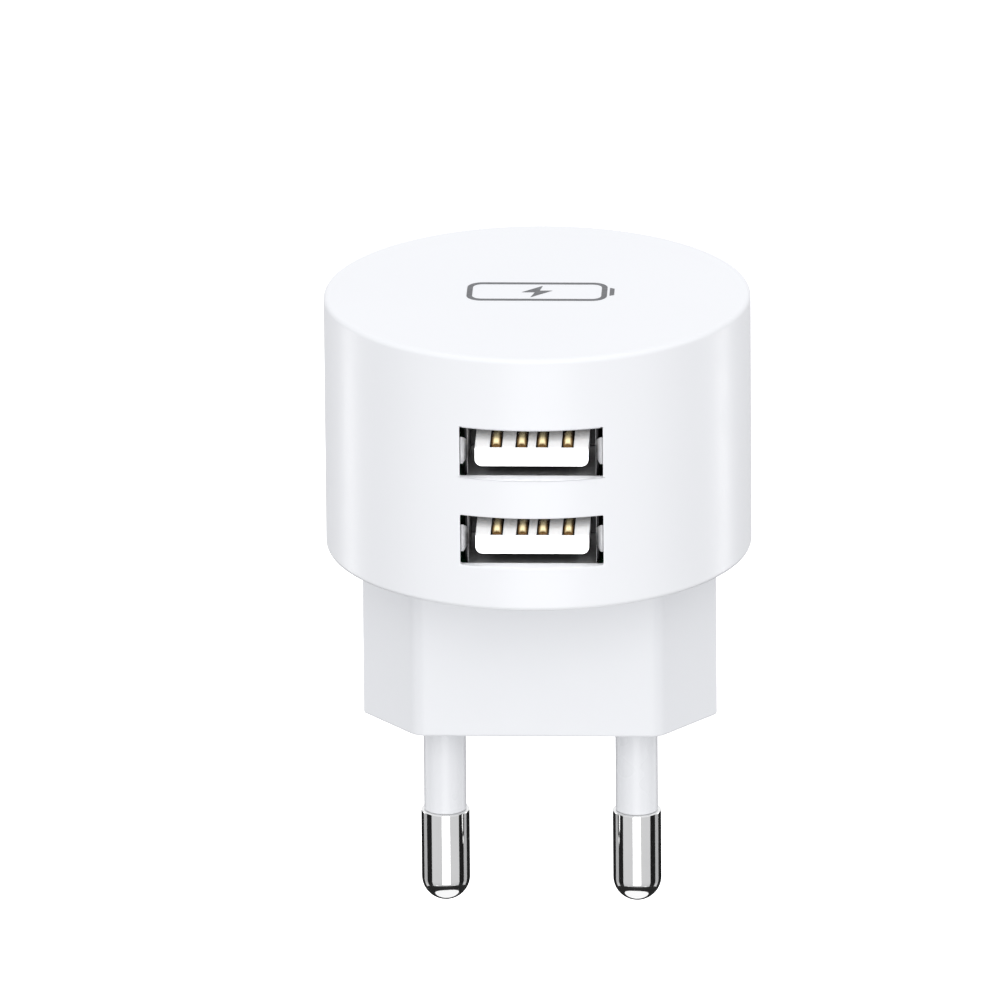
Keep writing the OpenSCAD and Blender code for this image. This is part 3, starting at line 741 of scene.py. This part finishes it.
def add_pin(side):
    """A round-ended pin with its shank and collar, and the sleeve round the shank."""
    low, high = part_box(f"{side}_pin")
    sleeve_low, sleeve_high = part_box(f"{side}_pin_sleeve")
    axis = ((low.x + high.x) / 2, 0)
    radius, sleeve_r = (high.x - low.x) / 2, (sleeve_high.x - sleeve_low.x) / 2
    edge, chamfer, shoulder = 0.09 * MM, 0.2 * MM, sleeve_low.z
    collar_low, collar_high = COLLAR_Z
    profile = [(0, low.z)] + arc((0, low.z + radius), radius, -90, 0, 24)[1:]
    profile += arc((radius - edge, shoulder - edge), edge, 0, 90, 5)
    profile += [(SHANK_R, shoulder), (SHANK_R, collar_low), (COLLAR_R, collar_low)]
    profile += [(COLLAR_R, collar_high), (SHANK_R, collar_high), (SHANK_R, high.z - chamfer)]
    profile += [(SHANK_R - chamfer, high.z), (0, high.z)]
    pin = lathe(f"{side}_pin_metal", profile, 96, centre=axis)
    nickel = metal("nickel", (0.91, 0.91, 0.9), 0.06, (6, 6, 0.15), 0.0006 * MM, 1400, 0.02)
    finish_piece(pin, "charger", "pin_metal", nickel, f"{side}_pin")
    bore, lip, top = SHANK_R + 0.02 * MM, 0.12 * MM, sleeve_high.z
    profile = [(bore, shoulder), (sleeve_r - lip, shoulder)]
    profile += arc((sleeve_r - lip, shoulder + lip), lip, -90, 0, 4)
    profile += [(sleeve_r, top - lip), (sleeve_r - lip, top), (bore, top)]
    sleeve = lathe(f"{side}_pin_cover", profile, 96, closed=True, centre=axis)
    white = plastic("sleeve_white", (0.82, 0.828, 0.845), 0.28)
    finish_piece(sleeve, "charger", "sleeve_plastic", white, f"{side}_pin_sleeve")


# ---------------------------------------------------------------- USB receptacles

def crowned_section(width, thickness, crown, steps=8):
    """The outline of a strip that is a little arched across, as (x, height below the crest)."""
    top = []
    for i in range(steps + 1):
        x = -width / 2 + width * i / steps
        top.append((x, -crown * (2 * x / width) ** 2))
    return top + [(x, z - thickness * 0.8) for x, z in reversed(top)]


def add_contact(side, number):
    """A gold-plated beam that rises from its root to a crest in a smooth wave and dips at its tip."""
    name = f"{side}_contact_{number}"
    low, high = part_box(name)
    centre, half = (low.x + high.x) / 2, (high.x - low.x) / 2
    crest_y, tip_y = low.y + CREST_FROM_TIP, low.y + TIP_SET_BACK
    root_rise, tip_rise = high.z - low.z - CONTACT_T, 0.42 * MM
    section = crowned_section(high.x - low.x, CONTACT_T, 0.16 * MM)
    places = [tip_y + half * (1 - math.cos(math.radians(a))) for a in range(6, 91, 12)]
    places += [places[-1] + (high.y - places[-1]) * i / 36 for i in range(1, 37)]
    rings = []
    for y in places:
        if y < crest_y:
            share, rise = (y - tip_y) / (crest_y - tip_y), tip_rise
        else:
            share, rise = (high.y - y) / (high.y - crest_y), root_rise
        z = high.z - rise * (1 + math.cos(math.pi * share)) / 2
        narrow = math.sqrt(max(0.04, 1 - max(0.0, 1 - (y - tip_y) / half) ** 2))
        rings.append([(centre + x * narrow, y, z + dz) for x, dz in section])
    beam = rings_object(f"{name}_beam", rings)
    gold = gold_painted_highlight_and_shade(f"gold_{number}", centre, half, tip_y)
    return finish_piece(beam, f"{side}_contacts", "contact_metal", gold, name, angle=50)


def add_receptacle(side):
    steel = receptacle_steel("receptacle_nickel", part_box(f"{side}_usb_shell")[0].y)
    white = insulator(f"{side}_insulator_white", f"{side}_insulator")
    shell = refined_copy(f"{side}_port_shell", f"{side}_usb_shell", 0.05 * MM)
    finish_piece(shell, "charger", "receptacle_metal", steel, f"{side}_usb_shell", angle=40)
    tongue = refined_copy(f"{side}_port_tongue", f"{side}_insulator", 0.09 * MM)
    finish_piece(tongue, "charger", "insulator_plastic", white, f"{side}_insulator", angle=40)
    return [tongue] + [add_contact(side, number) for number in (1, 2, 3, 4)]


# ---------------------------------------------------------------- print on the top

def add_plate(mesh, outline, low, high, hole=None):
    """Adds a flat plate from z = low to high, with a hole of as many points as its outline, if any."""
    loops = []
    for points in [outline] + ([hole] if hole else []):
        loops.append([[mesh.verts.new((x, y, z)) for x, y in points] for z in (low, high)])
    count = len(outline)
    for bottom, top in loops:
        for i in range(count):
            j = (i + 1) % count
            mesh.faces.new((bottom[i], bottom[j], top[j], top[i]))
    for level in (0, 1):
        ring = loops[0][level]
        if not hole:
            mesh.faces.new(ring)
            continue
        inner = loops[1][level]
        for i in range(count):
            j = (i + 1) % count
            mesh.faces.new((ring[i], ring[j], inner[j], inner[i]))


def add_top_print():
    """A generic battery-and-bolt sign in grey ink, where such chargers carry a mark."""
    top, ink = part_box("outer_shell")[1].z, 0.02 * MM
    low, high = top - ink, top + ink
    half_w, half_h, corner, line = 6.9 * MM, 2.8 * MM, 1.5 * MM, 0.55 * MM
    case = rounded_rectangle(half_w, half_h, corner, 8)
    window = rounded_rectangle(half_w - line, half_h - line, corner - line, 8)
    near, far, nub_h = half_w + 0.25 * MM, half_w + 0.7 * MM, 1.2 * MM
    nub = [(near, -nub_h), (far, -nub_h * 0.8), (far, nub_h * 0.8), (near, nub_h)]
    bolt = [(0.5, 1.75), (-1.5, -0.2), (-0.2, -0.2), (-0.6, -1.75), (1.5, 0.3), (0.25, 0.3)]
    mesh = bmesh.new()
    add_plate(mesh, case, low, high, window)
    add_plate(mesh, nub, low, high)
    add_plate(mesh, [(x * MM, y * MM) for x, y in bolt], low, high)
    bmesh.ops.recalc_face_normals(mesh, faces=mesh.faces)
    data = bpy.data.meshes.new("top_print")
    mesh.to_mesh(data)
    mesh.free()
    finish_piece(add_object("top_print", data), "charger", "print_ink", printed_ink())


# ---------------------------------------------------------------- inside pieces

def paint(node_name, material):
    """Gives a CAD node a material, and rounds its edges a little."""
    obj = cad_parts[node_name]
    for slot in obj.material_slots:
        slot.link = "OBJECT"
        slot.material = material
    weld = obj.modifiers.new("weld", "WELD")
    weld.merge_threshold = 0.002 * MM
    edges = obj.modifiers.new("edges", "BEVEL")
    edges.width, edges.segments, edges.limit_method = 0.05 * MM, 2, "ANGLE"
    edges.angle_limit = math.radians(35)
    edges.harden_normals = True


def paint_inside():
    """Gives every inside piece the look of its real material."""
    tin = metal("tin_plate", (0.72, 0.72, 0.71), 0.3, (1, 1, 0.3))
    gold = metal("gold_plate", (0.93, 0.66, 0.27), 0.2)
    bronze = metal("bronze_strip", (0.66, 0.47, 0.26), 0.3, (1, 1, 0.2))
    ferrite = plastic("ferrite_grey", (0.045, 0.045, 0.05), 0.55, 0.03 * MM, 0.2, 3000)
    black = plastic("phenolic_black", (0.02, 0.02, 0.021), 0.45, 0.01 * MM, 0.15)
    epoxy = plastic("chip_epoxy_black", (0.018, 0.018, 0.02), 0.6, 0.02 * MM, 0.2, 6000)
    ceramic = plastic("chip_ceramic_tan", (0.42, 0.30, 0.18), 0.5, 0.01 * MM, 0.15, 4000)
    looks = {
        "left_contact_spring": bronze, "right_contact_spring": bronze,
        "main_board": laminate(), "usb_board": laminate(),
        "upper_contact_tails": gold, "lower_contact_tails": gold,
        "core_upper": ferrite, "core_lower": ferrite, "input_inductor": ferrite,
        "bobbin": black, "winding": tape("tape_yellow", (0.78, 0.52, 0.05)), "transformer_pins": tin,
        "y_capacitor": plastic("lacquer_blue", (0.02, 0.11, 0.36), 0.25, 0.02 * MM, 0.15, 900),
        "fuse_resistor": plastic("lacquer_green", (0.06, 0.2, 0.13), 0.35, 0.02 * MM, 0.2, 1200),
        "bridge_rectifier": epoxy, "controller_chip": epoxy,
        "rectifier_diode": epoxy, "port_controller": epoxy, "chip_components": ceramic,
    }
    board_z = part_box("main_board")[0].z
    sleeves = {"input_capacitor_1": (0.02, 0.03, 0.07), "input_capacitor_2": (0.02, 0.03, 0.07),
               "output_capacitor": (0.05, 0.03, 0.09), "supply_capacitor": (0.03, 0.08, 0.06)}
    for name, color in sleeves.items():
        looks[name] = can_sleeve(f"{name}_sleeve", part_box(name), board_z, color, (0.6, 0.62, 0.66))
    for name, material in looks.items():
        paint(name, material)


# ---------------------------------------------------------------- the scene

bpy.context.scene.view_settings.view_transform = "Standard"
add_camera()
add_world(0.38, 0.98)
add_lights()
add_floor()
add_backdrop()
add_cards()
add_drum()
add_neck()
for side in ("left", "right"):
    add_pin(side)
in_ports = add_receptacle("upper") + add_receptacle("lower")
light_only(add_softbox("port_light", 2, 25, 1.2, 0.3, 0.3, 95), in_ports)
add_top_print()
paint_inside()
